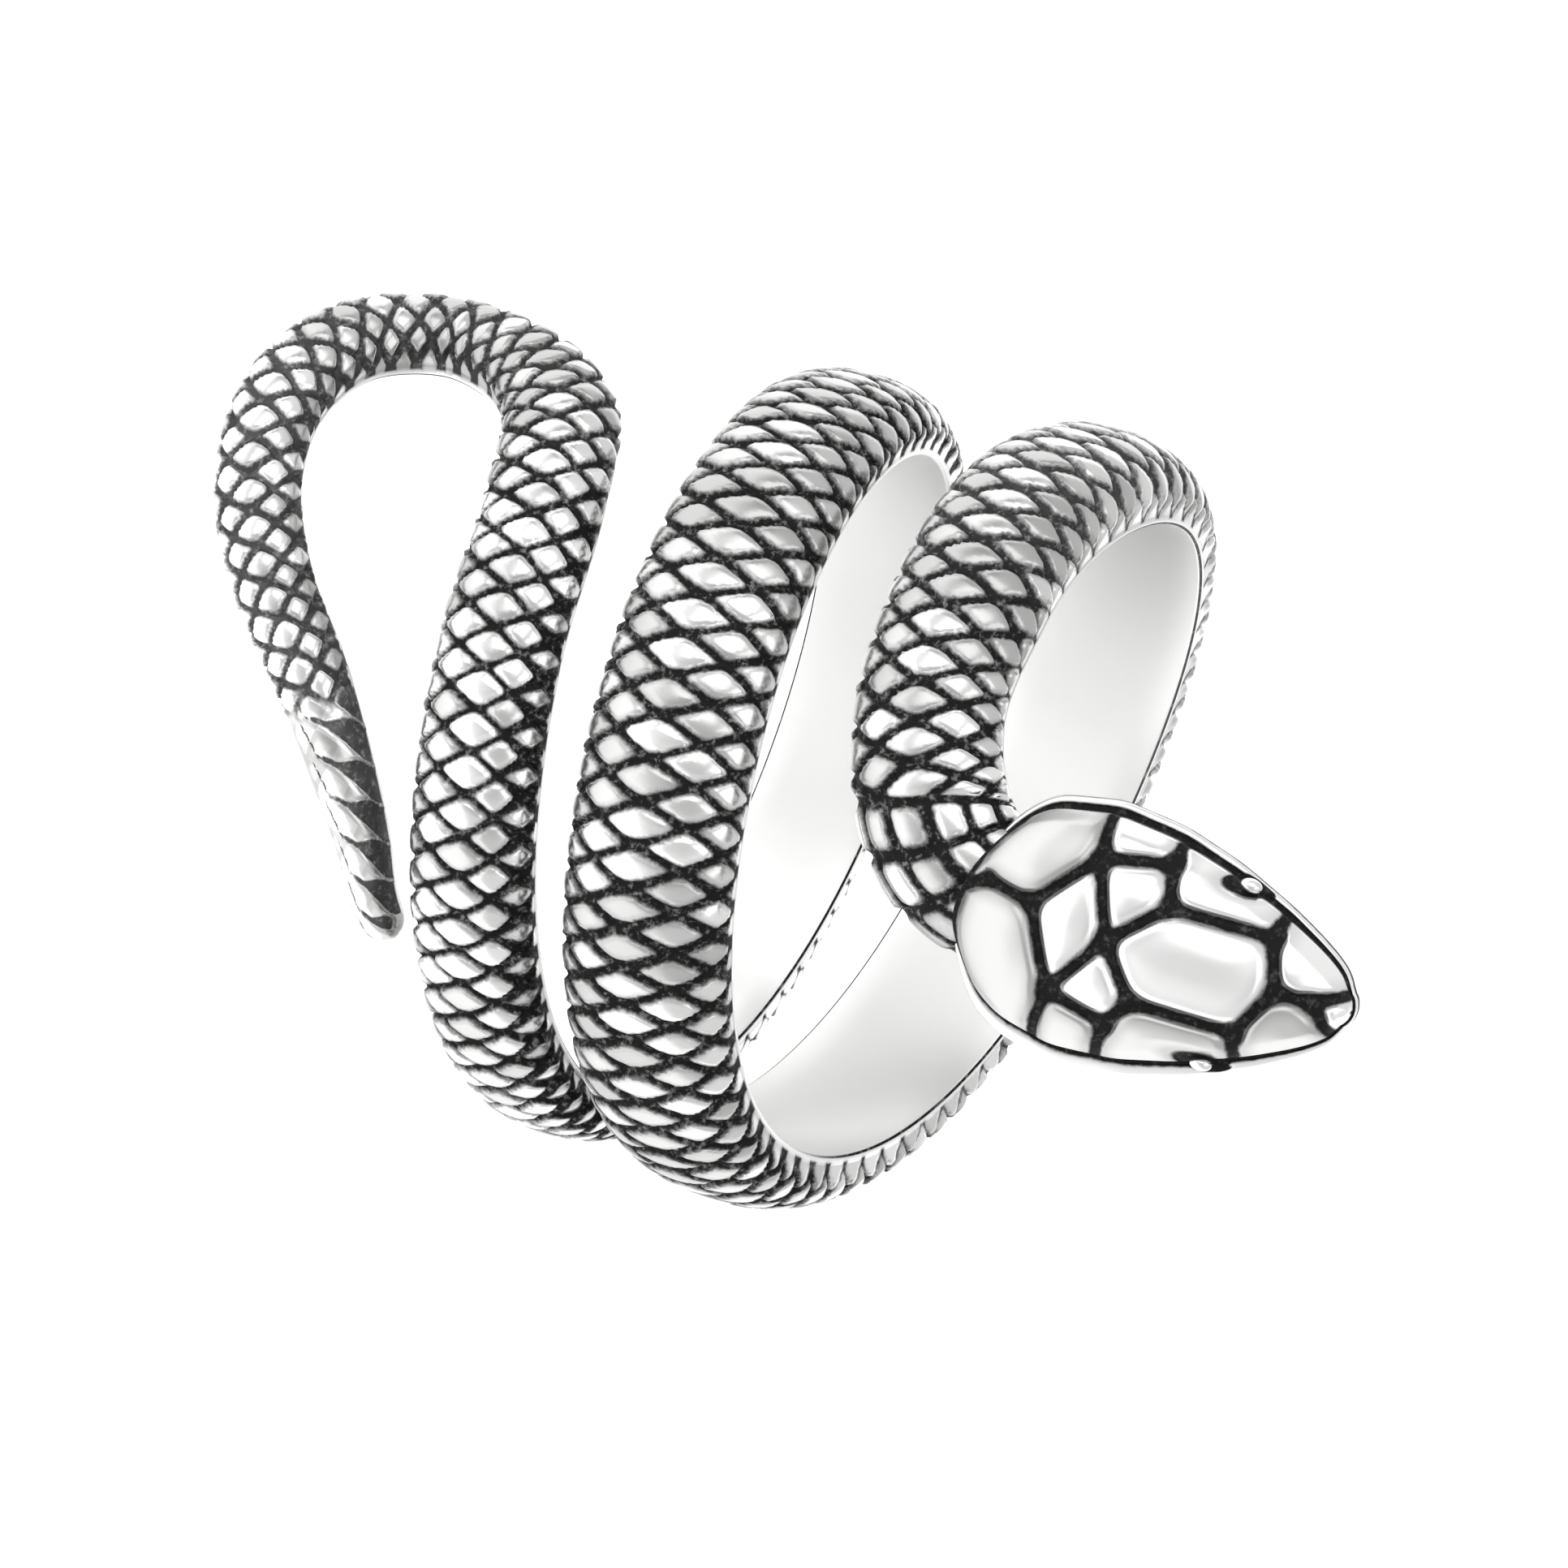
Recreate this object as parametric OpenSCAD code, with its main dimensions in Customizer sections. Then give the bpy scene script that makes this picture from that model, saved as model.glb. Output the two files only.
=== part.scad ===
// Snake wrap ring: a scaled silver snake coiled a little over two turns round a finger,
// its tail looped back at one end and its plated head laid along the finger at the other.
// Lengths are millimetres. The coil is drawn round an upright finger and then laid down
// on its tail loop, the way the loose ring comes to rest on a table.

/* [Finger] */
// Inside diameter of the coil, which is the finger size
finger_d = 18; // [15:0.5:21]

/* [Band] */
// Widest part of the band, at the back of the second turn
band_w = 4.5; // [3.6:0.1:4.9]
// Thickest part of the band, scales included
band_t = 2.05; // [1.7:0.05:2.6]
// Distance along the finger from the first front strand to the neck
coil_rise = 11.25; // [10.8:0.05:14]

/* [Tail loop] */
// Distance between the first strand and the far leg of the loop
loop_w = 8.25; // [7:0.25:11]
// Height of the loop above the middle of the front, measured round the finger
loop_h = 8.8; // [7:0.2:11]

/* [Scales] */
// Length of one scale along the back
scale_len = 1.12; // [1:0.02:1.6]
// Height of a scale above the groove round it
relief = 0.2; // [0.1:0.02:0.3]
// Length of the tail end that has rings in place of scales
tail_end_len = 5.4; // [3.6:0.2:8]

/* [Head] */
// Length of the head from the nape to the snout
head_len = 10.4; // [9:0.1:13]
// Width of the head across the jaws
head_w = 6.55; // [6:0.05:8]
// Height of the crown above the finger
head_h = 3.1; // [2.8:0.1:4]
// Angle between the head and the line of the finger
head_swing = 1.4; // [0:0.2:6]
// Distance along the finger from the end of the coil to the nape
neck_len = 2.05; // [1.8:0.05:3]
// Diameter of the eye
eye_d = 0.75; // [0.6:0.05:0.9]

/* [Rest] */
// Turn of the coil about the finger as the ring lies
rest_spin = -64.1; // [-80:0.1:-45]
// Lean of the finger axis from upright as the ring lies
rest_lean = 27.9; // [15:0.1:40]

/* [Hidden] */

finger_r = finger_d / 2;
// Depth that the solids reach inside the finger before its bore is cut
bore_bite = 0.5;
// Straight side of the band above the finger
edge_h = 0.25;
// Power of the superellipse that rounds the back of the band
round_power = 2.3;

// Tail loop, from the tip of the tail to the first strand.
// Columns: distance from the first strand as a share of loop_w, height as a share of loop_h,
// width as a share of band_w, thickness as a share of band_t
LOOP = [
    [0.22, -0.90, 0.10, 0.35],
    [0.25, -0.82, 0.19, 0.53],
    [0.31, -0.61, 0.28, 0.63],
    [0.41, -0.42, 0.34, 0.67],
    [0.56, -0.21, 0.39, 0.71],
    [0.78, 0.02, 0.43, 0.73],
    [0.95, 0.29, 0.46, 0.75],
    [1.00, 0.57, 0.47, 0.77],
    [0.90, 0.86, 0.49, 0.78],
    [0.63, 1.00, 0.52, 0.78],
    [0.38, 0.94, 0.56, 0.78],
    [0.18, 0.77, 0.62, 0.78],
    [0.06, 0.46, 0.65, 0.78]
];
// Coil. Columns: turn round the finger in degrees, rise as a share of coil_rise,
// width as a share of band_w, thickness as a share of band_t
COIL = [
    [0, 0.00, 0.68, 0.78],
    [90, 0.13, 0.70, 0.77],
    [180, 0.25, 0.77, 0.79],
    [270, 0.38, 0.85, 0.83],
    [360, 0.45, 0.94, 0.88],
    [450, 0.56, 0.96, 0.93],
    [540, 0.77, 1.00, 0.95],
    [630, 0.98, 0.97, 1.00],
    [690, 0.97, 0.84, 0.97],
    [712, 1.00, 0.80, 0.97]
];
// Neck, from the coil into the head. Columns: reach as a share of neck_len,
// bend round the finger as a share of neck_len, width and thickness as in the coil
NECK = [
    [0.35, 0.84, 0.82, 0.97],
    [0.88, 1.42, 0.82, 0.95],
    [2.00, 1.65, 0.76, 0.90]
];
// Stations of the centreline as [place along the finger, place round the finger,
// half width, thickness], all in millimetres
round_mm = finger_r * PI / 180;
coil_turn = COIL[len(COIL) - 1][0];
// Angle round the finger at which the head lies
head_turn = coil_turn + NECK[len(NECK) - 1][1] * neck_len / round_mm;
STATIONS = concat(
    [for (r = LOOP) [-r[0] * loop_w, -r[1] * loop_h, r[2] * band_w / 2, r[3] * band_t]],
    [for (r = COIL) [r[1] * coil_rise, r[0] * round_mm, r[2] * band_w / 2, r[3] * band_t]],
    [for (r = NECK) [coil_rise + r[0] * neck_len, coil_turn * round_mm + r[1] * neck_len,
                     r[2] * band_w / 2, r[3] * band_t]]
);
LAST = len(STATIONS) - 1;

function flat(p) = [p[0], p[1]];
function running_sum(v) = [for (i = 0, s = 0; i <= len(v); s = s + (i < len(v) ? v[i] : 0), i = i + 1) s];

// Knots of the centreline spline, its chord slopes and its slope at each station
KNOTS = running_sum([for (i = [0:LAST - 1]) norm(flat(STATIONS[i + 1]) - flat(STATIONS[i]))]);
CHORDS = [for (i = [0:LAST - 1]) (STATIONS[i + 1] - STATIONS[i]) / (KNOTS[i + 1] - KNOTS[i])];
INNER = [for (i = [1:LAST - 1])
    let (a = KNOTS[i] - KNOTS[i - 1], b = KNOTS[i + 1] - KNOTS[i])
    (CHORDS[i - 1] * b + CHORDS[i] * a) / (a + b)];
SLOPES = concat([2 * CHORDS[0] - INNER[0]], INNER, [2 * CHORDS[LAST - 1] - INNER[LAST - 2]]);

// Point and slope of the spline at knot value t
function segment(t) = max([for (i = [0:LAST - 1]) if (KNOTS[i] <= t) i]);
function path_point(t) =
    let (i = segment(t), h = KNOTS[i + 1] - KNOTS[i], u = (t - KNOTS[i]) / h)
    (2 * u ^ 3 - 3 * u ^ 2 + 1) * STATIONS[i] + (u ^ 3 - 2 * u ^ 2 + u) * h * SLOPES[i]
    + (3 * u ^ 2 - 2 * u ^ 3) * STATIONS[i + 1] + (u ^ 3 - u ^ 2) * h * SLOPES[i + 1];
function path_slope(t) =
    let (i = segment(t), h = KNOTS[i + 1] - KNOTS[i], u = (t - KNOTS[i]) / h)
    (6 * u ^ 2 - 6 * u) / h * (STATIONS[i] - STATIONS[i + 1])
    + (3 * u ^ 2 - 4 * u + 1) * SLOPES[i] + (3 * u ^ 2 - 2 * u) * SLOPES[i + 1];

// Rows of scales at equal steps along the centreline
FINE = 8 * LAST;
FINE_T = [for (k = [0:FINE]) KNOTS[LAST] * k / FINE];
FINE_P = [for (t = FINE_T) flat(path_point(t))];
FINE_S = running_sum([for (k = [0:FINE - 1]) norm(FINE_P[k + 1] - FINE_P[k])]);
T_OF_S = [for (k = [0:FINE]) [FINE_S[k], FINE_T[k]]];
BODY_LEN = FINE_S[FINE];
row_step = scale_len / 2 * finger_r / (finger_r + band_t);
ROWS = 2 * floor(BODY_LEN / row_step / 2);
COLUMNS = 6;
ring_rows = 2 * round(tail_end_len / row_step / 2);

// A point at radius r and angle a round the finger, z along it, and the frame there
function outward(a) = [cos(a), sin(a), 0];
function onward(a) = [-sin(a), cos(a), 0];
function on_finger(r, a, z) = r * outward(a) + [0, 0, z];

// Scales stand where row and column add up to an even number. Share of a scale that is its
// flat top, with the rest sloping into the grooves
top_share = 0.7;
function is_scale(i, j) = (i + j) % 2 == 0;
// The tail end and the last rows have plain peaks in place of flat tops
function is_flat(i, j) = is_scale(i, j) && i > ring_rows && i < ROWS && j > 0 && j < COLUMNS;
function raised(i, j) = i < ring_rows ? (i % 2 == 0 ? 0.5 * relief : 0) : (is_scale(i, j) ? relief : 0);

// Across and up of column j on the rounded back, for half width w and thickness t
function back_point(j, w, t) =
    let (a = 180 * j / COLUMNS, c = cos(a), s = max(0, sin(a)), p = 2 / round_power)
    [-sign(c) * abs(c) ^ p * w, edge_h + (t - relief - edge_h) * s ^ p, c, s];
// Section of the band at row i: foot on the finger, side, outward, half width, thickness
function section(i) =
    let (t = lookup(BODY_LEN * i / ROWS, T_OF_S),
         p = path_point(t), d = path_slope(t), a = p[1] / round_mm,
         ahead = d[1] * onward(a) + [0, 0, d[0]])
    [on_finger(finger_r, a, p[0]), cross(outward(a), ahead / norm(ahead)), outward(a), p[2], p[3]];
function on_back(s, j, lift) =
    let (b = back_point(j, s[3], s[4]))
    s[0] + s[1] * (b[0] - b[2] * lift) + s[2] * (b[1] + b[3] * lift);

// One row of the band: the back from edge to edge, then the two corners inside the finger
function body_row(i) =
    let (s = section(i))
    concat(
        [for (j = [0:COLUMNS]) on_back(s, j, j % COLUMNS == 0 || is_flat(i, j) ? 0 : raised(i, j))],
        [for (e = [1, -1]) s[0] + s[1] * e * s[3] - s[2] * bore_bite]
    );
// The four corners of the flat top of the scale at row i and column j
function scale_top(i, j) = [
    on_back(section(i - top_share), j, relief), on_back(section(i), j + top_share, relief),
    on_back(section(i + top_share), j, relief), on_back(section(i), j - top_share, relief)
];

ROW_POINTS = COLUMNS + 3;
TOPS_START = ROW_POINTS * (ROWS + 1);
BODY_POINTS = concat(
    [for (i = [0:ROWS]) each body_row(i)],
    [for (i = [ring_rows + 1:ROWS - 1], j = [1:COLUMNS - 1]) if (is_scale(i, j)) each scale_top(i, j)]
);
function row_index(p) = p[0] * ROW_POINTS + p[1];
// First of the four top corners of the scale at row i and column j
function top_index(i, j) =
    let (n = i - ring_rows - 1)
    TOPS_START + 4 * (floor(n / 2) * (COLUMNS - 1) + n % 2 * COLUMNS / 2 + floor((j - 1) / 2));
function in_back(p) = p[0] >= 0 && p[0] <= ROWS && p[1] >= 0 && p[1] <= COLUMNS;
// The quarter of a scale between two neighbouring groove crossings
function quarter(i, j, k) =
    let (ring = [[i - 1, j], [i, j + 1], [i + 1, j], [i, j - 1]],
         p = ring[k], q = ring[(k + 1) % 4], t = top_index(i, j), m = t + (k + 1) % 4)
    !in_back(p) || !in_back(q) ? []
    : is_flat(i, j) ? [[row_index(p), row_index(q), m], [row_index(p), m, t + k]]
    : [[row_index([i, j]), row_index(p), row_index(q)]];
// The top of a scale, folded along the length of the band
function top_faces(t) = [[t, t + 1, t + 2], [t, t + 2, t + 3]];
function strip(i, j) =
    let (k = (j + 1) % ROW_POINTS, a = i * ROW_POINTS, b = a + ROW_POINTS)
    [[a + j, a + k, b + k], [a + j, b + k, b + j]];
BODY_FACES = concat(
    [for (i = [0:ROWS], j = [0:COLUMNS]) if (is_scale(i, j)) for (k = [0:3]) each quarter(i, j, k)],
    [for (i = [0:ROWS], j = [0:COLUMNS]) if (is_flat(i, j)) each top_faces(top_index(i, j))],
    [for (i = [0:ROWS - 1], j = [COLUMNS:ROW_POINTS - 1]) each strip(i, j)],
    [for (j = [1:ROW_POINTS - 2]) [0, j + 1, j]],
    [for (j = [1:ROW_POINTS - 2]) [for (k = [0, j, j + 1]) ROWS * ROW_POINTS + k]]
);

// Head. Columns: place from the nape as a share of head_len, half width as a share of
// head_w / 2, crown height and lip height as shares of head_h
HEAD = [
    [0.00, 0.36, 0.70, 0.45],
    [0.06, 0.54, 0.76, 0.44],
    [0.12, 0.74, 0.84, 0.42],
    [0.20, 0.90, 0.93, 0.40],
    [0.34, 1.00, 1.00, 0.38],
    [0.50, 0.95, 0.98, 0.37],
    [0.65, 0.81, 0.88, 0.35],
    [0.80, 0.60, 0.75, 0.32],
    [0.90, 0.42, 0.63, 0.29],
    [0.96, 0.28, 0.54, 0.27],
    [1.00, 0.10, 0.44, 0.26]
];
function head_col(x, c) = lookup(x, [for (r = HEAD) [r[0], r[c]]]);
// Share of the jaw width at which the plated crown ends
crown_share = 0.89;

// Corners of the head plates. Columns: place as a share of head_len, place across as a
// share of the crown's half width there, from -1 on one jaw to 1 on the other
PLATE_CORNERS = [
    [0.11, 0.27], [0.24, 0.14], [0.37, 0.64], [0.53, 0.81], [0.56, 0.47],
    [0.44, 0.03], [0.53, -0.42], [0.48, -0.65], [0.33, -0.50], [0.80, 0.70],
    [0.84, 0.02], [0.77, -0.62], [0.945, 0.02],
    [0.10, 0.70], [0.13, 1.00], [0.22, 1.00], [0.34, 1.00], [0.43, 1.00], [0.52, 1.00],
    [0.65, 1.00], [0.80, 1.00], [0.90, 1.00], [0.97, 1.00],
    [1.00, 0.30], [0.99, -0.90], [0.92, -1.00], [0.77, -1.00], [0.62, -1.00],
    [0.45, -1.00], [0.36, -1.00], [0.29, -1.00], [0.20, -1.00], [0.13, -1.00],
    [0.06, -0.60], [0.045, 0.02]
];
PLATES = [
    [0, 1, 2, 16, 15, 14, 13],
    [0, 34, 33, 32, 31, 30, 8, 1],
    [1, 8, 5, 2],
    [2, 3, 18, 17, 16],
    [2, 5, 4, 3],
    [8, 7, 6, 5],
    [8, 30, 29, 28, 7],
    [3, 4, 9, 20, 19, 18],
    [4, 5, 6, 11, 10, 9],
    [7, 28, 27, 26, 11, 6],
    [9, 10, 12, 23, 22, 21, 20],
    [11, 26, 25, 24, 12, 10],
    [12, 24, 23]
];
// Corners round the edge of the crown, in order
RIM = [for (i = [13:34]) i, 0];

// Height of the crown over the finger at place x and across share v
function crown_z(x, v) =
    let (lip = head_col(x, 3), top = head_col(x, 2))
    head_h * (lip + (top - lip) * (1 - min(1, abs(v)) ^ 2.6) ^ 0.6) - relief;
function crown_y(x, v) = v * crown_share * head_col(x, 1) * head_w / 2;
CORNERS = [for (c = PLATE_CORNERS) [c[0] * head_len, crown_y(c[0], c[1]), crown_z(c[0], c[1])]];

function mean(v) = v * [for (i = v) 1] / len(v);
function middle(plate) = [for (k = [0:2]) mean([for (i = plate) CORNERS[i][k]])];
// The raised field of a plate is its outline drawn in towards the middle
groove_share = 0.17;
function field(plate) =
    let (m = middle(plate))
    [for (i = plate) m + (CORNERS[i] - m) * (1 - groove_share) + [0, 0, relief]];
function plate_start(k) = len(CORNERS) + (k == 0 ? 0 : running_sum([for (p = PLATES) len(p) + 1])[k]);

// Rings below the crown: the mouth groove, the lip, the jaw and the floor inside the finger.
// Columns: length and width as shares of the crown's rim, height as a share of head_h,
// from the lip down or, in the last row, from the finger
JAW = [
    [0.985, 0.97, -0.03],
    [1.010, 1.12, -0.07],
    [1.000, 1.10, -0.20],
    [0.900, 0.90, -0.50]
];
head_middle = 0.42 * head_len;
function jaw_point(i, r) =
    let (c = CORNERS[i], lip = min(c[2], head_h * head_col(c[0] / head_len, 3)))
    [head_middle + (c[0] - head_middle) * JAW[r][0], c[1] * JAW[r][1],
     (r == len(JAW) - 1 ? 0 : lip) + JAW[r][2] * head_h];

HEAD_LOCAL = concat(
    CORNERS,
    [for (p = PLATES) each concat(field(p), [middle(p) + [0, 0, relief * 1.5]])],
    [for (r = [0:len(JAW) - 1], i = RIM) jaw_point(i, r)]
);
// A point of the head, given along, across and above the finger
function head_place(p) =
    let (along = p[0] * cos(head_swing) + p[1] * sin(head_swing),
         across = p[1] * cos(head_swing) - p[0] * sin(head_swing))
    on_finger(finger_r + p[2], head_turn, coil_rise + neck_len + along) - across * onward(head_turn);
HEAD_POINTS = [for (p = HEAD_LOCAL) head_place(p)];

RING_START = len(CORNERS) + running_sum([for (p = PLATES) len(p) + 1])[len(PLATES)];
RIM_POINTS = len(RIM);
function ring_index(r, i) = r < 0 ? RIM[i % RIM_POINTS] : RING_START + r * RIM_POINTS + i % RIM_POINTS;
HEAD_FACES = concat(
    [for (k = [0:len(PLATES) - 1], i = [0:len(PLATES[k]) - 1])
        let (n = len(PLATES[k]), s = plate_start(k), j = (i + 1) % n)
        each [[PLATES[k][j], PLATES[k][i], s + j], [s + j, PLATES[k][i], s + i], [s + j, s + i, s + n]]],
    [for (r = [-1:len(JAW) - 2], i = [0:RIM_POINTS - 1])
        each [[ring_index(r, i), ring_index(r + 1, i), ring_index(r + 1, i + 1)],
              [ring_index(r, i), ring_index(r + 1, i + 1), ring_index(r, i + 1)]]],
    [[for (i = [RIM_POINTS - 1:-1:0]) ring_index(len(JAW) - 1, i)]]
);

// Place of the eyes as shares of head_len, of the half width there and of head_h
EYE = [0.70, 0.90, 0.44];
function eye_place(s) =
    head_place([EYE[0] * head_len, s * EYE[1] * head_col(EYE[0], 1) * head_w / 2, EYE[2] * head_h]);

// The turn that lays the ring on its tail loop, worked out for its points so that
// the middle of its base comes to the origin
function turned(p) =
    let (x = p[0] * cos(rest_spin) - p[1] * sin(rest_spin),
         y = p[0] * sin(rest_spin) + p[1] * cos(rest_spin))
    [x, y * cos(rest_lean) + p[2] * sin(rest_lean), p[2] * cos(rest_lean) - y * sin(rest_lean)];
LAID = [for (p = concat(BODY_POINTS, HEAD_POINTS)) if (norm(flat(p)) > finger_r) turned(p)];
LOW = [for (k = [0:2]) min([for (p = LAID) p[k]])];
HIGH = [for (k = [0:2]) max([for (p = LAID) p[k]])];

module scaled_body() { polyhedron(BODY_POINTS, BODY_FACES, convexity = 12); }

module plated_head() { polyhedron(HEAD_POINTS, HEAD_FACES, convexity = 6); }

module eyes() {
    for (s = [-1, 1]) translate(eye_place(s)) sphere(d = eye_d, $fn = 32);
}

module finger() {
    cylinder(d = finger_d, h = 4 * (coil_rise + loop_w + head_len), center = true, $fn = 180);
}

// The whole snake, one casting
module snake_ring() {
    color("silver")
    translate([-(LOW[0] + HIGH[0]) / 2, -(LOW[1] + HIGH[1]) / 2, -LOW[2]])
    rotate([-rest_lean, 0, 0])
    rotate([0, 0, rest_spin])
    union() {
        difference() {
            scaled_body();
            finger();
        }
        difference() {
            plated_head();
            finger();
        }
        eyes();
    }
}

snake_ring();
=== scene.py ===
"""Snake wrap ring in oxidised silver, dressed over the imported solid. Sizes are in millimetres."""

import bpy
import numpy as np
from mathutils import Matrix, Vector


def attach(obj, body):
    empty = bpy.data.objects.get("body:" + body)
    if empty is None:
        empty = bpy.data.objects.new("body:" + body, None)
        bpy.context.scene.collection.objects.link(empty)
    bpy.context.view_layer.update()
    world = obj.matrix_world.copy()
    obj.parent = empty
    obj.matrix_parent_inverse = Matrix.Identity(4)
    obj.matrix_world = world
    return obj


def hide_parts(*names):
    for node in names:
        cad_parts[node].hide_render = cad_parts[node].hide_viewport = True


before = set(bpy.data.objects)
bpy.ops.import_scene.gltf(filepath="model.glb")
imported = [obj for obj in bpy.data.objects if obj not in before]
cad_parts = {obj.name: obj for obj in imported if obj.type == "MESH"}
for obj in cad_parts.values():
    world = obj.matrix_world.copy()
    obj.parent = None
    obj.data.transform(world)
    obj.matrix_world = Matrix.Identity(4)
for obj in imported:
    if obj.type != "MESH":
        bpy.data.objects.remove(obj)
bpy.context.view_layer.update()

# Sizes of the ring in millimetres, as in the part's source
FINGER_R, BAND_W, BAND_T, COIL_RISE = 9.0, 4.5, 2.05, 11.25
LOOP_W, LOOP_H, SCALE_LEN, RELIEF, TAIL_END_LEN = 8.25, 8.8, 1.12, 0.2, 5.4
HEAD_LEN, HEAD_W, HEAD_H, HEAD_SWING, NECK_LEN, EYE_D = 10.4, 6.55, 3.1, 1.4, 2.05, 0.75
REST_SPIN, REST_LEAN = -64.1, 27.9
EDGE_H, ROUND_POWER, COLUMNS = 0.25, 2.3, 6

# Tail loop: distance from the first strand, height, width and thickness as shares
LOOP = [
    (0.22, -0.90, 0.10, 0.35), (0.25, -0.82, 0.19, 0.53), (0.31, -0.61, 0.28, 0.63),
    (0.41, -0.42, 0.34, 0.67), (0.56, -0.21, 0.39, 0.71), (0.78, 0.02, 0.43, 0.73),
    (0.95, 0.29, 0.46, 0.75), (1.00, 0.57, 0.47, 0.77), (0.90, 0.86, 0.49, 0.78),
    (0.63, 1.00, 0.52, 0.78), (0.38, 0.94, 0.56, 0.78), (0.18, 0.77, 0.62, 0.78),
    (0.06, 0.46, 0.65, 0.78),
]
# Coil: turn in degrees, rise, width and thickness as shares
COIL = [
    (0, 0.00, 0.68, 0.78), (90, 0.13, 0.70, 0.77), (180, 0.25, 0.77, 0.79), (270, 0.38, 0.85, 0.83),
    (360, 0.45, 0.94, 0.88), (450, 0.56, 0.96, 0.93), (540, 0.77, 1.00, 0.95), (630, 0.98, 0.97, 1.00),
    (690, 0.97, 0.84, 0.97), (712, 1.00, 0.80, 0.97),
]
# Neck: reach and bend as shares of its length, width and thickness as shares
NECK = [(0.35, 0.84, 0.82, 0.97), (0.88, 1.42, 0.82, 0.95), (2.00, 1.65, 0.76, 0.90)]

ROUND_MM = FINGER_R * np.pi / 180
HEAD_TURN = COIL[-1][0] + NECK[-1][1] * NECK_LEN / ROUND_MM
STATIONS = np.array(
    [(-a * LOOP_W, -b * LOOP_H, w * BAND_W / 2, t * BAND_T) for a, b, w, t in LOOP]
    + [(b * COIL_RISE, a * ROUND_MM, w * BAND_W / 2, t * BAND_T) for a, b, w, t in COIL]
    + [(COIL_RISE + a * NECK_LEN, COIL[-1][0] * ROUND_MM + b * NECK_LEN, w * BAND_W / 2, t * BAND_T)
       for a, b, w, t in NECK])
LAST = len(STATIONS) - 1
KNOTS = np.concatenate([[0], np.cumsum(np.linalg.norm(np.diff(STATIONS[:, :2], axis=0), axis=1))])
GAPS = np.diff(KNOTS)[:, None]
CHORDS = np.diff(STATIONS, axis=0) / GAPS
INNER = (CHORDS[:-1] * GAPS[1:] + CHORDS[1:] * GAPS[:-1]) / (GAPS[:-1] + GAPS[1:])
SLOPES = np.vstack([2 * CHORDS[:1] - INNER[:1], INNER, 2 * CHORDS[-1:] - INNER[-1:]])


def path(t):
    """Point and slope of the centreline at knot values t: along, round, half width, thickness."""
    i = np.clip(np.searchsorted(KNOTS, t, side="right") - 1, 0, LAST - 1)
    h = (KNOTS[i + 1] - KNOTS[i])[:, None]
    u = (t - KNOTS[i])[:, None] / h
    a, b, m, n = STATIONS[i], STATIONS[i + 1], SLOPES[i], SLOPES[i + 1]
    point = (2*u**3 - 3*u**2 + 1)*a + (u**3 - 2*u**2 + u)*h*m + (3*u**2 - 2*u**3)*b + (u**3 - u**2)*h*n
    slope = (6*u**2 - 6*u)/h*(a - b) + (3*u**2 - 4*u + 1)*m + (3*u**2 - 2*u)*n
    return point, slope


FINE_T = np.linspace(0, KNOTS[-1], 8 * LAST + 1)
FINE_STEPS = np.diff(path(FINE_T)[0][:, :2], axis=0)
FINE_S = np.concatenate([[0], np.cumsum(np.linalg.norm(FINE_STEPS, axis=1))])
ROW_STEP = SCALE_LEN / 2 * FINGER_R / (FINGER_R + BAND_T)
ROWS = 2 * int(FINE_S[-1] / ROW_STEP / 2)
RING_ROWS = 2 * round(TAIL_END_LEN / ROW_STEP / 2)


def frames(i):
    """At rows i: foot on the finger, side and outward vectors, half width and thickness."""
    t = np.interp(FINE_S[-1] * i / ROWS, FINE_S, FINE_T)
    p, d = path(t)
    a = np.radians(p[:, 1] / ROUND_MM)
    out = np.stack([np.cos(a), np.sin(a), 0 * a], 1)
    on = np.stack([-np.sin(a), np.cos(a), 0 * a], 1)
    ahead = d[:, 1:2] * on + d[:, 0:1] * np.array([0, 0, 1.0])
    side = np.cross(out, ahead / np.linalg.norm(ahead, axis=1)[:, None])
    foot = FINGER_R * out + p[:, 0:1] * np.array([0, 0, 1.0])
    return foot, side, out, p[:, 2], p[:, 3]


def back(j, w, t):
    """Across and up of column value j on the rounded back, and the direction it faces."""
    a = np.pi * j / COLUMNS
    c, s = np.cos(a), np.maximum(0, np.sin(a))
    p = 2 / ROUND_POWER
    return (-np.sign(c) * np.abs(c)**p * w, EDGE_H + (t - RELIEF - EDGE_H) * s**p, -c, s)


# The turn that lays the coil on its tail loop, and the place of its middle in the row frame
ORIGIN = np.array([0.078, -0.259, 4.04458])


def turn(axis, degrees):
    return np.array(Matrix.Rotation(np.radians(degrees), 3, axis))


LAY = turn("X", -REST_LEAN) @ turn("Z", REST_SPIN)


def laid(points):
    """Points drawn round the upright finger, in mm, put into the row frame, in metres."""
    return (points @ LAY.T + ORIGIN) / 1000


def ramp(a, b, x):
    """Smooth step from 0 at a to 1 at b."""
    u = np.clip((x - a) / (b - a), 0, 1)
    return u * u * (3 - 2 * u)


def wobble(a, b, seed):
    """Slow unevenness, between about -1 and 1, over two coordinates."""
    k = np.array([[1.0, 0.37], [0.61, -1.13], [-1.71, 0.83], [0.29, 2.11]]) * (1 + 0.13 * seed)
    return sum(np.sin(p * a + q * b + seed * (n + 1)) for n, (p, q) in enumerate(k)) / 3


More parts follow.
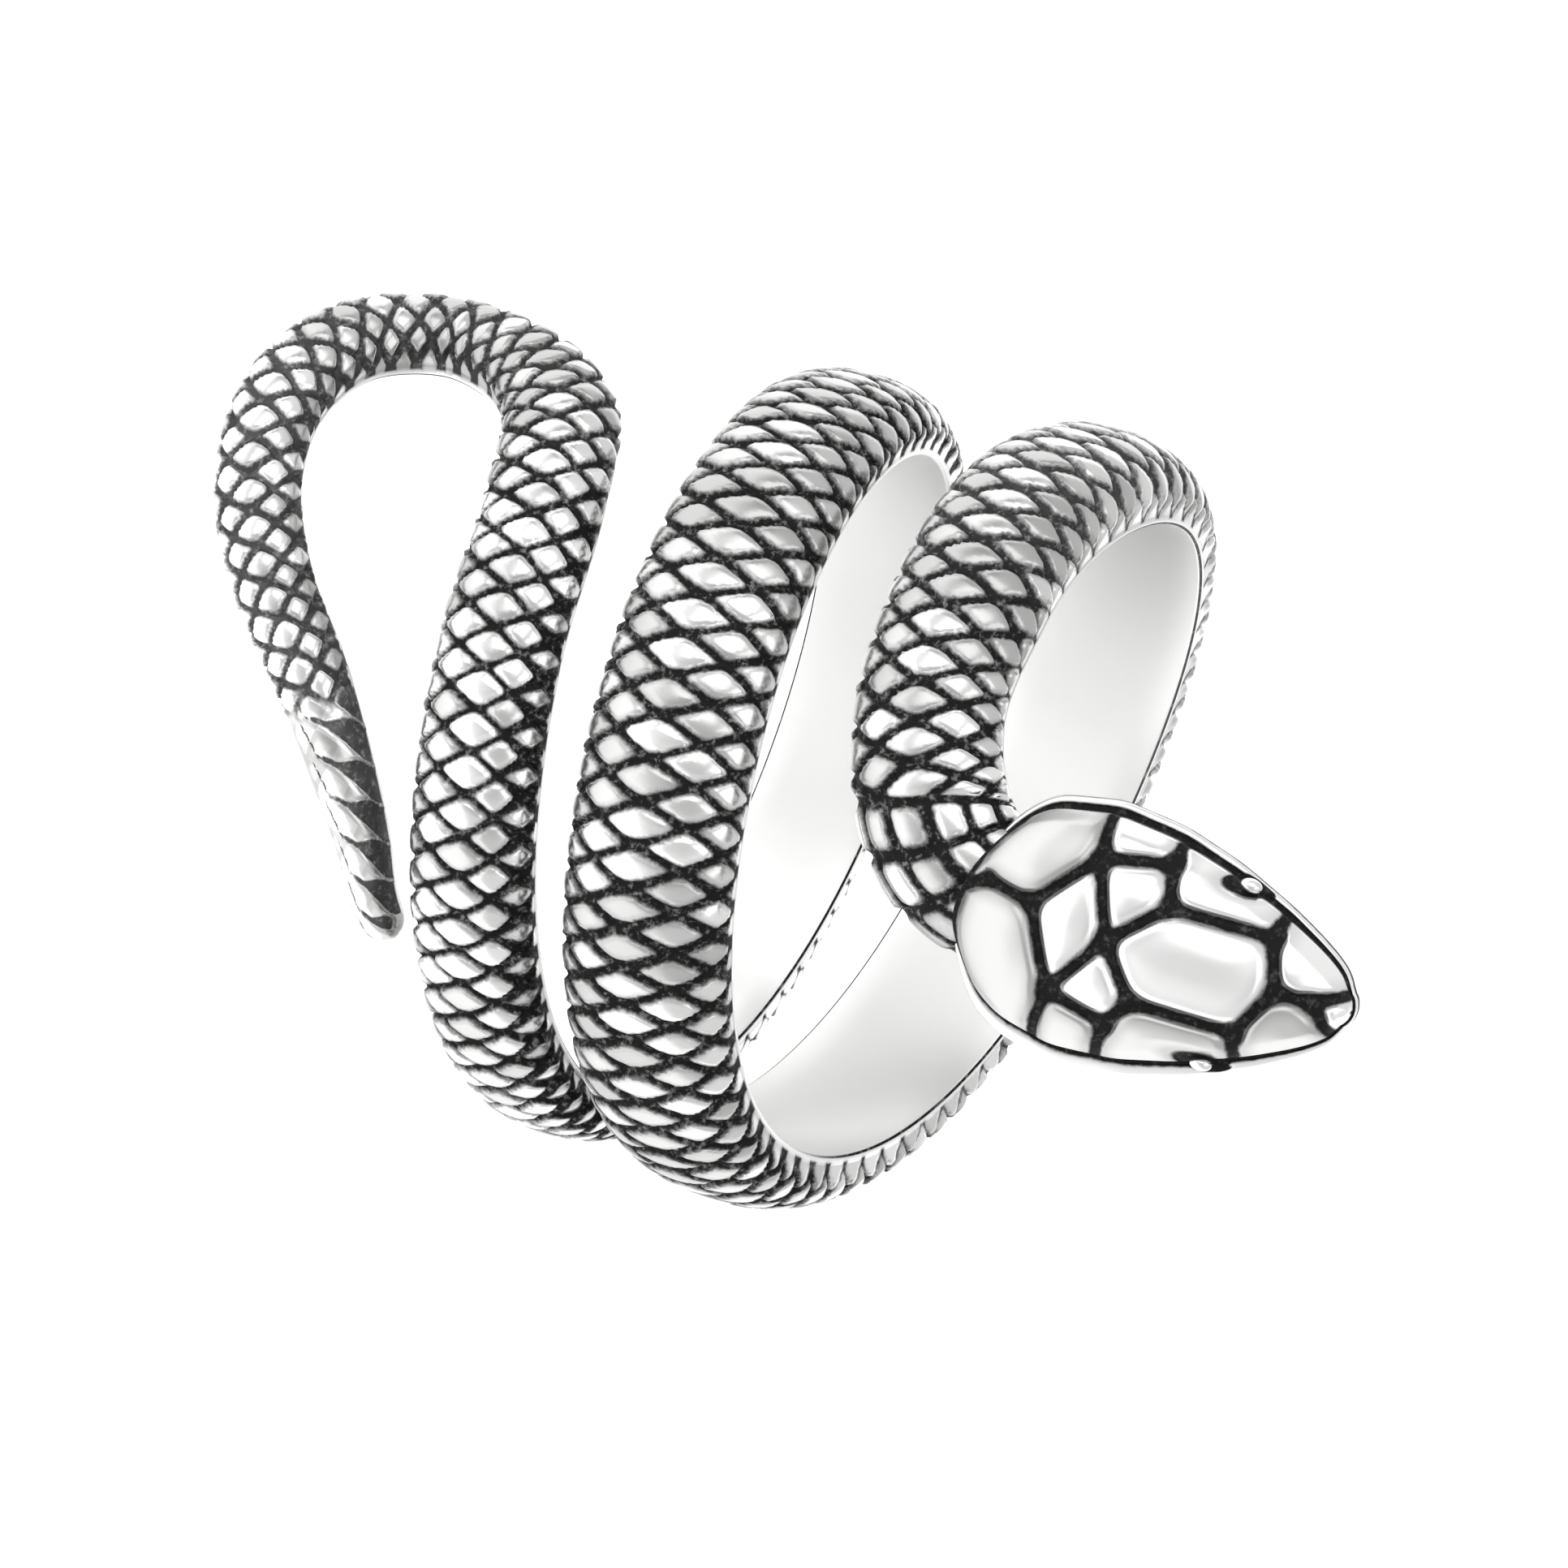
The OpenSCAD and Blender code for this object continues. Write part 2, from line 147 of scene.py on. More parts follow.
def grid_faces(rows, columns, close=False, start=0, flip=False):
    """Quads of a grid of points stored row by row; close joins the last column to the first."""
    i = np.arange(rows - 1)[:, None]
    j = np.arange(columns if close else columns - 1)[None]
    k = (j + 1) % columns
    corners = (i * columns + j, i * columns + k, (i + 1) * columns + k, (i + 1) * columns + j)
    quad = np.stack(np.broadcast_arrays(*corners), -1).reshape(-1, 4) + start
    return quad[:, ::-1] if flip else quad


def mesh_object(name, points, quads, caps=(), uv=None, values=None):
    """A smooth-shaded mesh from arrays, with a UV map called lattice and named values at its points."""
    mesh = bpy.data.meshes.new(name)
    faces = [list(map(int, q)) for q in quads] + [list(map(int, c)) for c in caps]
    mesh.from_pydata(points.tolist(), [], faces)
    if uv is not None:
        layer = mesh.uv_layers.new(name="lattice")
        corner = np.empty(len(mesh.loops), np.int32)
        mesh.loops.foreach_get("vertex_index", corner)
        layer.data.foreach_set("uv", uv[corner].astype(np.float32).ravel())
    for key, value in (values or {}).items():
        mesh.attributes.new(key, "FLOAT", "POINT").data.foreach_set("value", value.astype(np.float32))
    mesh.polygons.foreach_set("use_smooth", [True] * len(mesh.polygons))
    mesh.validate()
    obj = bpy.data.objects.new(name, mesh)
    bpy.context.scene.collection.objects.link(obj)
    return obj


# Scaled body: tail, loop, coil and neck

STEPS, ACROSS = 5, 7          # points to a row, and to a column
NECK_ROW = 318.75             # row of the neck's first cross groove
NECK_PLATE = (2.2, 0.9)       # a neck plate's length in rows, and its width in columns
TAIL_RING_ROW, TAIL_RING_STEP = 11.5, 2.05
# Share of a tail ring's step that its groove takes, at column values
TAIL_GROOVE = np.array([
    (0.8, 0.90), (1.4, 0.70), (1.9, 0.42), (2.4, 0.15), (3.0, 0.12), (3.2, -0.02),
    (3.4, 0.22), (3.7, 0.22), (3.8, -0.2)])
LIFT = 0.94                   # height of the rounded scales, as a share of the source's flat ones
HEAD_GAP = 0.04               # between the neck's inside and the head's floor
KNOB_ROWS = (3.2, 0.6)        # rows over which the tail's end swells to its knob
KNOB_REACH, KNOB_MORE = 0.26, 0.13   # how far the knob passes the source's tip, and is thicker
KNOB_ROUND, KNOB_POWER = 1.5, 2.3    # rows over which it closes, and how square


def neck_place(i, j):
    """Plates of the neck: place along it from the first cross groove and across it, in plates."""
    slant = (0.36 + 0.06 * (j - 1.2)) * (j - 1.2)
    ahead = i - NECK_ROW - slant
    along = i - NECK_ROW - slant * (1 + 0.13 * ahead.clip(0, 6))
    return along / NECK_PLATE[0], (j - 2.2) / NECK_PLATE[1] + 0.5


def scale_place(i, j):
    """Pattern coordinates, in which every scale or plate is a unit square round a whole number."""
    along, across = neck_place(i, j)
    i = i + 0.14 * wobble(i * 0.21, j * 0.9, 1.0)
    j = j + 0.14 * wobble(i * 0.17, j * 0.7, 2.0)
    return np.where(along > 0, along + 0.5, (i + j) / 2), np.where(along > 0, across, (i - j) / 2)


def off_centre(p, q, power):
    """0 in the middle of a scale, 1 on the groove round it."""
    a, b = 2 * np.abs(p - np.round(p)), 2 * np.abs(q - np.round(q))
    return (a**power + b**power)**(1 / power)


def chance(p, q, seed):
    """One number between -1 and 1 for each scale."""
    wave = np.sin(np.round(p) * 12.9898 + np.round(q) * 78.233 + seed)
    return 2 * np.modf(np.abs(wave * 4375.85))[0] - 1


def ring_place(i, j):
    """Distance from the nearest ring of the tail, 0 on it and 1 in a groove, and the groove's share."""
    slant = 0.7 * (j - 3) + 3.5 * (j - 3.3).clip(0, 0.4)
    place = (i - TAIL_RING_ROW - slant) / TAIL_RING_STEP + 0.04 * wobble(i * 0.4, j, 3.0)
    share = np.interp(j, *TAIL_GROOVE.T)
    tip = ramp(1.7, 1.0, i)
    return 2 * np.abs(place - np.round(place)), share * (1 - tip) - 0.1 * tip


def neck_crease(i, j):
    """1 in the first cross groove of the neck, a little less beside the head, where the material paints
    shade.
    """
    along = neck_place(i, j)[0]
    return np.maximum(np.exp(-(along / 0.11)**2), 0.5 * ramp(1.9, 2.1, along))


def body_lift(i, j):
    """Height of the pattern at row i and column j, from 0 in a groove to 1 on a scale."""
    p, q = scale_place(i, j)
    scale = 1 - ramp(0.68, 0.96, off_centre(p, q, 5.0))
    tilt = chance(p, q, 0.0) * (p - np.round(p)) + chance(p, q, 2.0) * (q - np.round(q))
    scale *= 0.92 + 0.06 * np.cos(np.pi * off_centre(p, q, 2.0).clip(0, 1)) + 0.22 * tilt
    off, share = ring_place(i, j)
    groove = ramp(0.0, 0.45, off - (1 - share).clip(0.05, 0.9) + 0.2)
    ring = 1 - groove * (0.25 + 0.75 * ramp(4.8, 3.0, j))
    tail = 1 - ramp(RING_ROWS + 0.6, RING_ROWS + 2.0, i)
    # The rim is worn smooth at the back of the first turn
    worn = ramp(103, 110, i) * ramp(138, 130, i)
    edge = ramp(0, 0.55, j + 0.4 * tail) * ramp(0.5 * worn, 0.55 + 0.9 * worn, COLUMNS - j)
    return (scale * (1 - neck_crease(i, j)) * (1 - tail) + 0.6 * ring * tail) * edge


def knob_frames(i):
    """The body's frames at rows i with the tail's knob, and how near that is to its full size."""
    foot, side, out, width, thick = frames(i)
    knob = ramp(*KNOB_ROWS, i)
    foot = foot - np.cross(side, out) * KNOB_REACH * knob[:, None]
    full = ((1 - np.clip(1 - i / KNOB_ROUND, 0, 1)**KNOB_POWER)**(1 / KNOB_POWER)).clip(0.02)
    width = (width + KNOB_MORE * knob) * full
    thick = RELIEF + EDGE_H + (thick + KNOB_MORE * knob - RELIEF - EDGE_H) * full
    return foot, side, out, width, thick, full


def snake_body():
    i = np.linspace(0, ROWS, ROWS * STEPS + 1)
    j = np.linspace(0, COLUMNS, COLUMNS * ACROSS + 1)
    foot, side, out, width, thick, full = knob_frames(i)
    x, y, face_x, face_y = back(j[None], width[:, None], thick[:, None])
    lift = RELIEF * LIFT * body_lift(i[:, None], j[None]) * np.minimum(1, width / 0.9)[:, None]
    x, y = x + face_x * lift, y + face_y * lift
    # From the last column down the side, across the inside and up again
    round_in = np.array([(0, 0.12), (0.012, 0.055), (0.05, 0.014), (0.12, 0)])
    right = [(width - dx * full, dy + 0 * width) for dx, dy in round_in]
    inner = [(width * s, 0 * width) for s in (0.55, 0.0, -0.55)]
    left = [(-a, b) for a, b in reversed(right)]
    across = np.concatenate([x, np.stack([a for a, _ in right + inner + left], 1)], 1)
    up = np.concatenate([y, np.stack([b for _, b in right + inner + left], 1)], 1)
    points = foot[:, None] + side[:, None] * across[..., None] + out[:, None] * up[..., None]
    # The inside lies on the finger, and a little off it within the head
    low = np.arange(across.shape[1]) >= len(j)
    radius = np.linalg.norm(points[..., :2], axis=2)
    gap = HEAD_GAP * ramp(ROWS - 4.4, ROWS - 3.5, i)[:, None]
    target = np.where(low[None], FINGER_R + up + gap, radius)
    points[..., :2] *= (target / radius)[..., None]
    columns = points.shape[1]
    jj = np.concatenate([j, np.full(len(right), COLUMNS), [4.5, 3, 1.5], np.zeros(len(left))])
    ii, jj = np.broadcast_arrays(i[:, None], jj[None])
    p, q = scale_place(ii, jj)
    inside = np.broadcast_to(low[None], ii.shape)
    # Points on the rounded edges of the hole, which the material gives a painted dark shade line
    line = np.zeros(columns)
    line[[len(j) + 1, len(j) + 2, columns - 3, columns - 2]] = 1
    line = np.broadcast_to(line[None], ii.shape)
    tail = 1 - ramp(RING_ROWS + 0.9, RING_ROWS + 1.9, ii + 0.5 * wobble(ii, jj * 2, 4.0))
    ring = sum(ring_place(ii, jj))
    count = len(i) * columns
    caps = [list(range(columns))[::-1], [count - columns + k for k in range(columns)]]
    return mesh_object(
        "snake_body", laid(points.reshape(-1, 3)), grid_faces(len(i), columns, close=True), caps,
        uv=np.stack([p, q], -1).reshape(-1, 2),
        values={"row": ii.ravel(), "column": jj.ravel(), "inside": inside.ravel(), "line": line.ravel(),
                "ring": ring.ravel(), "tail": tail.ravel(), "crease": neck_crease(ii, jj).ravel()})


# Head

# Place from the nape, half width, crown height and lip height, as shares of the head's sizes
HEAD = np.array([
    (0.00, 0.36, 0.70, 0.45), (0.06, 0.54, 0.76, 0.44), (0.12, 0.74, 0.84, 0.42),
    (0.20, 0.90, 0.93, 0.40), (0.34, 1.00, 1.00, 0.38), (0.50, 0.95, 0.98, 0.37),
    (0.65, 0.81, 0.88, 0.35), (0.80, 0.60, 0.75, 0.32), (0.90, 0.42, 0.63, 0.29),
    (0.96, 0.28, 0.54, 0.27), (1.00, 0.10, 0.44, 0.26)])
# Share of the half width at which the crown ends, and the share that the places below are given by
CROWN_W, PLATE_W = 0.89, 0.93
# Meeting points of the grooves between the head plates: place along, and across from -1 to 1
MEET = {
    "nape": (0.045, 0.10), "back": (0.11, 0.27), "a": (0.24, 0.14), "b": (0.37, 0.64),
    "c": (0.33, -0.50), "d": (0.56, 0.47), "dd": (0.53, 0.81), "e": (0.44, 0.03),
    "f": (0.80, 0.70), "g": (0.84, 0.02), "h": (0.77, -0.62), "j": (0.53, -0.42),
    "k": (0.48, -0.65), "fork": (0.925, 0.02),
    "b_edge": (0.34, 1.02), "dd_edge": (0.52, 1.02), "f_edge": (0.80, 1.02),
    "c_edge": (0.29, -1.02), "k_edge": (0.45, -1.02), "h_edge": (0.77, -1.02),
    "snout_up": (0.985, 0.75), "snout_down": (0.970, -0.95),
}
GROOVES = [
    ("nape", "back"), ("back", "a"), ("a", "b"), ("b", "b_edge"), ("a", "c"), ("c", "c_edge"),
    ("c", "e"), ("e", "b"), ("b", "dd"), ("dd", "dd_edge"), ("e", "d"), ("d", "dd"), ("c", "k"),
    ("k", "j"), ("j", "e"), ("k", "k_edge"), ("d", "f"), ("f", "f_edge"), ("f", "g"), ("g", "h"),
    ("h", "j"), ("h", "h_edge"), ("g", "fork"), ("fork", "snout_up"), ("fork", "snout_down"),
]
# Grooves that part the crown from the nape's plates and from those of the lower cheek
NAPE_BORDER = ("c_edge", "c", "a", "b", "b_edge")
CHEEK_BORDER = ("c", "k", "j", "h", "g", "fork", "snout_down")
# Rings below the crown: length and width against its rim, height against the lip, and the distance
# from a dark line
JAW = np.array([
    (1.000, 1.000, 0.000, 0.14), (0.996, 0.994, -0.026, 0.00), (1.000, 1.035, -0.034, 0.00),
    (1.006, 1.052, -0.036, 0.10), (1.010, 1.090, -0.044, 0.34), (1.010, 1.116, -0.090, 0.12),
    (1.007, 1.108, -0.135, 0.03), (1.000, 1.090, -0.160, 0.00), (1.000, 1.095, -0.200, 0.20),
    (0.992, 1.074, -0.300, 0.60)])
JAW_RINGS = 24
CHEEK_MORE = 0.075            # how much fuller the lip is on one cheek
CROWN_GRID = (200, 111)       # points along the crown and across it
MIDDLE = 0.42 * HEAD_LEN      # place along the head that it narrows round
# The head's floor: steps in from the jaw's edge, how much narrower it ends, and its mark, which also
# gives it a greyer tone as painted shade under the head
FLOOR_STEPS, FLOOR_IN, FLOOR_MARK = (0.35, 0.7, 0.93), np.array([0.022, 0.07]), 0.20
GROOVE_BLEND = 0.10           # reach within which grooves that meet widen
NOSE_FROM, NOSE_LEN = 0.955, 0.0452
HOLLOW = (0.66, 0.25)         # half length and half width of the dark hollow round an eye
EYES = [(0.70, 0.92, 0.44), (0.70, -0.92, 0.44)]
EYE_BALL = np.array([0.78, 0.52, 0.66])


def head_profile(x):
    """Half width, crown and lip height at places x, in mm."""
    fine = np.linspace(0, 1, 401)
    table = [np.interp(fine, HEAD[:, 0], HEAD[:, k]) for k in (1, 2, 3)]
    kernel = np.hanning(49) / np.hanning(49).sum()
    padded = [np.pad(t, 24, mode="reflect", reflect_type="odd") for t in table]
    smooth = [np.convolve(t, kernel, "valid") for t in padded]
    w, top, lip = (np.interp(x, fine, t) for t in smooth)
    return w * HEAD_W / 2, top * HEAD_H, lip * HEAD_H


def groove_distance(x, y):
    """Distance in mm from the nearest groove, smaller where grooves meet."""
    def place(name):
        a, v = MEET[name]
        return np.array([a * HEAD_LEN, v * PLATE_W * head_profile(a)[0]])
    total = 0
    for start, end in GROOVES:
        a, b = place(start), place(end)
        u = (((x - a[0]) * (b[0] - a[0]) + (y - a[1]) * (b[1] - a[1])) / ((b - a) @ (b - a))).clip(0, 1)
        d = np.hypot(x - a[0] - u * (b[0] - a[0]), y - a[1] - u * (b[1] - a[1]))
        total = total + np.exp(-d / GROOVE_BLEND)
    return -GROOVE_BLEND * np.log(total)


def shaded_plates(x, v):
    """1 on the nape's two plates and on those of the lower cheek, which get painted shade against the
    crown.
    """
    nape, cheek = (np.array([MEET[name] for name in border]) for border in (NAPE_BORDER, CHEEK_BORDER))
    on_nape = ramp(0.02, -0.02, x - np.interp(v, nape[:, 1], nape[:, 0]))
    on_cheek = ramp(0.06, -0.06, v - np.interp(x, cheek[:, 0], cheek[:, 1])) * ramp(0.28, 0.32, x)
    return np.maximum(on_nape, on_cheek)


def head_place(x, y, z):
    """A point of the head, along, across and above the finger, drawn round the upright finger."""
    s = np.radians(HEAD_SWING)
    along, across = x * np.cos(s) + y * np.sin(s), y * np.cos(s) - x * np.sin(s)
    a = np.radians(HEAD_TURN)
    out, on = np.array([np.cos(a), np.sin(a), 0]), np.array([-np.sin(a), np.cos(a), 0])
    up = np.array([0, 0, 1.0])
    return ((FINGER_R + z)[..., None] * out - across[..., None] * on
            + (COIL_RISE + NECK_LEN + along)[..., None] * up)


def eye_spot(eye):
    """Middle of an eye on the head, in mm."""
    x, y, z = eye
    return np.array([x * HEAD_LEN, y * head_profile(x)[0], z * HEAD_H])


def eye_hollow(x, y):
    """Distance in mm from the dark hollows round the eyes, as the grooves are measured."""
    spots = [eye_spot(eye) for eye in EYES]
    off = np.min([np.hypot((x - a[0]) / HOLLOW[0], (y - a[1]) / HOLLOW[1]) for a in spots], axis=0)
    return 0.55 * (off - 1) + 0.15


def crown():
    """The head's plated top as a grid of points, its distances from a dark line and its plates with
    painted shade.
    """
    nx, nv = CROWN_GRID
    v = np.sin(np.linspace(-1, 1, nv) * np.pi / 2 * 0.94) / np.sin(np.pi / 2 * 0.94)
    start = (0.045 + 0.02 * v + 0.14 * (1 - np.sqrt(1 - np.abs(v)**3)))[None]
    v = v[None]
    run = np.sin(np.linspace(0, 1, nx) * np.pi / 2)**0.9
    x = start + (1 - start) * run[:, None]
    width, top, lip = head_profile(x)
    nose = np.sqrt(1 - np.clip((x - NOSE_FROM) / NOSE_LEN, 0, 1)**2)
    width = np.where(x > NOSE_FROM, np.maximum(width, 0.55) * nose, width)
    y = v * CROWN_W * width
    z = lip + (top - lip) * (1 - 0.82 * np.abs(v)**2.6)**0.6 - RELIEF
    d = groove_distance(x * HEAD_LEN, y)
    d = np.minimum(d, eye_hollow(x * HEAD_LEN, y))
    # A dark line runs on round the nape, a groove with painted shade where the head meets the neck
    d = np.minimum(d, 0.02 + 0.7 * (x - start) * HEAD_LEN + 0.2 * ramp(0.9, 1.0, np.abs(v)))
    rim = np.minimum((1 - np.abs(v)) * width, (x - start) * HEAD_LEN)
    fall = ramp(0, 0.35, np.minimum(rim, (1 - x) * HEAD_LEN + 0.12))
    z = z + RELIEF * ramp(0.05, 0.30, d) * (0.3 + 0.7 * fall) + 0.10 * ramp(0.1, 1.1, d) * fall - 0.06
    return np.stack([x * HEAD_LEN, y, z], -1), d, shaded_plates(x, v * CROWN_W / PLATE_W)


def on_finger(y):
    """Height of the finger's surface at distance y from its top, both in mm."""
    return np.sqrt(FINGER_R**2 - y**2) - FINGER_R


def jaw(rim):
    """Rings of points from the crown's rim over the lip and in to the floor, and their distances."""
    x, y = rim[:, 0], rim[:, 1]
    lip = np.minimum(rim[:, 2], head_profile(x / HEAD_LEN)[2])
    fine = np.linspace(0, len(JAW) - 1, JAW_RINGS + 1)[1:]
    rows = np.stack([np.interp(fine, np.arange(len(JAW)), JAW[:, k]) for k in range(4)], 1)
    nape = 1 - ramp(0.12, 0.40, x / HEAD_LEN)
    rings, marks = [], []
    for along, across, height, mark in rows:
        stretch = along + nape * (1 + 0.55 * (across - 1) - along)
        # The lip is fuller on one cheek
        fuller = ramp(0, -0.6, y) * ramp(1.045, 1.10, across) * ramp(-0.30, -0.16, height)
        across = across * (1 + CHEEK_MORE * fuller)
        rings.append(np.stack([MIDDLE + (x - MIDDLE) * stretch, y * across, lip + height * HEAD_H], 1))
        # The hollow of the eye ends on top of the lip
        hollow = eye_hollow(rings[-1][:, 0], rings[-1][:, 1]) + ramp(-0.044, -0.075, height)
        marks.append(np.minimum(mark, hollow))
    x, y, z = rings[-1].T
    for u in FLOOR_STEPS:
        shrink = 1 - FLOOR_IN * u**2
        flat_x, flat_y = MIDDLE + (x - MIDDLE) * shrink[0], y * shrink[1]
        rings.append(np.stack([flat_x, flat_y, z * (1 - u) + on_finger(flat_y) * u], 1))
        marks.append(np.full(len(rim), FLOOR_MARK))
    return rings, marks


def snake_head():
    nx, nv = CROWN_GRID
    top, top_marks, top_shade = crown()
    # The rim of the crown, once round
    edge = np.concatenate([
        [(0, k) for k in range(nv)], [(k, nv - 1) for k in range(1, nx)],
        [(nx - 1, k) for k in range(nv - 2, -1, -1)], [(k, 0) for k in range(nx - 2, 0, -1)]])
    rings, marks = jaw(top[edge[:, 0], edge[:, 1]])
    shrink = JAW[-1, :2] * (1 - FLOOR_IN)
    x, y = MIDDLE + (top[..., 0] - MIDDLE) * shrink[0], top[..., 1] * shrink[1]
    bottom = np.stack([x, y, on_finger(y)], -1)
    local = np.concatenate([top.reshape(-1, 3), *rings, bottom.reshape(-1, 3)])
    marks = np.concatenate([top_marks.ravel(), *marks, np.full(nx * nv, FLOOR_MARK)])
    n_top, n_edge = nx * nv, len(edge)
    n_bottom = n_top + len(rings) * n_edge
    rim = edge[:, 0] * nv + edge[:, 1]
    between = [n_top + k * n_edge + np.arange(n_edge) for k in range(len(rings))]
    loops = [rim, *between, n_bottom + rim]
    skirt = [np.stack([a, np.roll(a, -1), np.roll(b, -1), b], 1) for a, b in zip(loops, loops[1:])]
    quads = [grid_faces(nx, nv, flip=True), *skirt, grid_faces(nx, nv, start=n_bottom)]
    # Painted shade on the nape's plates and on those of the lower cheek, for the material
    painted_shade = np.zeros(len(local))
    painted_shade[:n_top] = top_shade.ravel()
    return mesh_object("snake_head", laid(head_place(*local.T)), np.concatenate(quads),
                       values={"groove": marks, "painted_shade": painted_shade})


def snake_eye(name, eye, segments=48):
    u = np.linspace(0, np.pi, 25)[1:-1, None]
    w = np.linspace(0, 2 * np.pi, segments, endpoint=False)
    ball = np.stack(np.broadcast_arrays(np.cos(u), np.sin(u) * np.cos(w), np.sin(u) * np.sin(w)), -1)
    local = eye_spot(eye) + ball.reshape(-1, 3) * EYE_D / 2 * EYE_BALL
    last = (len(u) - 1) * segments
    caps = [list(range(segments)), [last + k for k in reversed(range(segments))]]
    faces = grid_faces(len(u), segments, close=True, flip=True)
    return mesh_object(name, laid(head_place(*local.T)), faces, caps)


# Materials

WHITE, PAPER = (1, 1, 1, 1), (0.93, 0.93, 0.93, 1)
# The darker silver serves greyer scales and painted shade
SILVER, SILVER_WORN_AND_SHADED = (0.95, 0.95, 0.945, 1), (0.45, 0.45, 0.446, 1)
OXIDE, OXIDE_RUBBED = (0.020, 0.020, 0.021, 1), (0.24, 0.24, 0.24, 1)
SILVER_ROUGH, WORN_ROUGH, OXIDE_ROUGH = 0.20, 0.28, 0.38
GRAIN_SCALE, GRAIN_MM, WANDER_SCALE = 5200.0, 0.02, 3300.0
GROOVE_MM = 0.06
SQUARE_POWER = 5.5            # how square the clean face of a scale is
# Rows of the body at which an effect starts, is full, starts to fade and has ended
FIRST_FLANK = (54.0, 72.0, 96.0, 112.0)
FRONT_OF_SECOND = (146.0, 160.0, 222.0, 232.0)
UNDER_SECOND = (196.0, 206.0, 226.0, 238.0)
FIRST_TURN = (60.0, 66.0, 84.0, 92.0)
THIRD_TOP = (254.0, 268.0, 298.0, 312.0)
# The same where scales get painted shade, and by how much
PAINTED_SHADE_ROWS = [
    ((31.0, 37.0, 54.0, 62.0), 0.55), ((62.0, 68.0, 80.0, 92.0), 0.10),
    ((84.0, 92.0, 102.0, 110.0), 0.34), ((162.0, 170.0, 182.0, 190.0), 0.32),
    ((200.0, 208.0, 224.0, 232.0), 0.18), ((256.0, 266.0, 308.0, 318.0), 0.28)]
PAINTED_SHADE_INSIDE = [((126.0, 142.0, 158.0, 172.0), 0.35), ((220.0, 230.0, 238.0, 264.0), 0.32)]


class Nodes:
    """Short calls for the node tree of a material or a world."""

    def __init__(self, owner):
        owner.use_nodes = True
        self.owner, self.tree = owner, owner.node_tree

    def add(self, kind, **settings):
        node = self.tree.nodes.new(kind)
        for key, value in settings.items():
            setattr(node, key, value)
        return node

    def link(self, source, target):
        self.tree.links.new(source, target)

    def fill(self, sockets, values):
        """Sets each socket to its number or colour, or links it to its output."""
        for socket, value in zip(sockets, values):
            if isinstance(value, (int, float, tuple)):
                socket.default_value = value
            else:
                self.link(value, socket)

    def math(self, operation, *values, clamp=False):
        node = self.add("ShaderNodeMath", operation=operation, use_clamp=clamp)
        self.fill(node.inputs, values)
        return node.outputs[0]

    def times(self, a, b):
        return self.math("MULTIPLY", a, b)

    def less(self, a, b):
        return self.math("SUBTRACT", a, b)

    def total(self, first, *others):
        for other in others:
            first = self.math("ADD", first, other)
        return first

    def value(self, name):
        return self.add("ShaderNodeAttribute", attribute_name=name).outputs["Fac"]

    def spread(self, source, low, high, to_low=0.0, to_high=1.0, smooth=True):
        node = self.add("ShaderNodeMapRange", interpolation_type="SMOOTHSTEP" if smooth else "LINEAR")
        sockets = [node.inputs[key] for key in ("Value", "From Min", "From Max", "To Min", "To Max")]
        self.fill(sockets, (source, low, high, to_low, to_high))
        return node.outputs["Result"]

    def noise(self, scale, detail, roughness=0.55):
        node = self.add("ShaderNodeTexNoise")
        place = self.add("ShaderNodeTexCoord").outputs["Object"]
        sockets = [node.inputs[key] for key in ("Vector", "Scale", "Detail", "Roughness")]
        self.fill(sockets, (place, scale, detail, roughness))
        return node.outputs["Fac"]

    def wander(self, reach):
        """Slight unevenness of a groove's edge."""
        return self.spread(self.noise(WANDER_SCALE, 3.0, 0.6), 0.25, 0.75, -reach, reach, smooth=False)

    def mix(self, factor, a, b):
        node = self.add("ShaderNodeMix", data_type="RGBA")
        self.fill([node.inputs[key] for key in ("Factor", "A", "B")], (factor, a, b))
        return node.outputs["Result"]


def finish_silver(n, clean, tone, height, depth_mm, satin=0.0, grit=1.0):
    """Oxidised silver: clean is 1 on metal and 0 in a groove, tone is 1 on the brightest silver and
    lower on greyer metal and where shade is painted.
    """
    shader = n.tree.nodes["Principled BSDF"]
    dirty = n.less(1.0, clean)
    speck = n.noise(GRAIN_SCALE, 4.0, 0.65)
    dark = n.mix(n.spread(speck, 0.50, 0.72, 0.0, grit), OXIDE, OXIDE_RUBBED)
    n.link(n.mix(clean, dark, n.mix(tone, SILVER_WORN_AND_SHADED, SILVER)), shader.inputs["Base Color"])
    rough = n.spread(tone, 0.0, 1.0, WORN_ROUGH, SILVER_ROUGH)
    n.link(n.total(rough, n.times(dirty, OXIDE_ROUGH), satin), shader.inputs["Roughness"])
    shader.inputs["Metallic"].default_value = 1.0
    grain, relief = n.add("ShaderNodeBump"), n.add("ShaderNodeBump")
    for bump, source, strength, depth in ((grain, n.times(speck, dirty), 0.5, GRAIN_MM),
                                          (relief, height, 0.8, depth_mm)):
        bump.inputs["Strength"].default_value = strength
        bump.inputs["Distance"].default_value = depth / 1000
        n.link(source, bump.inputs["Height"])
    n.link(grain.outputs["Normal"], relief.inputs["Normal"])
    n.link(relief.outputs["Normal"], shader.inputs["Normal"])
    return n.owner


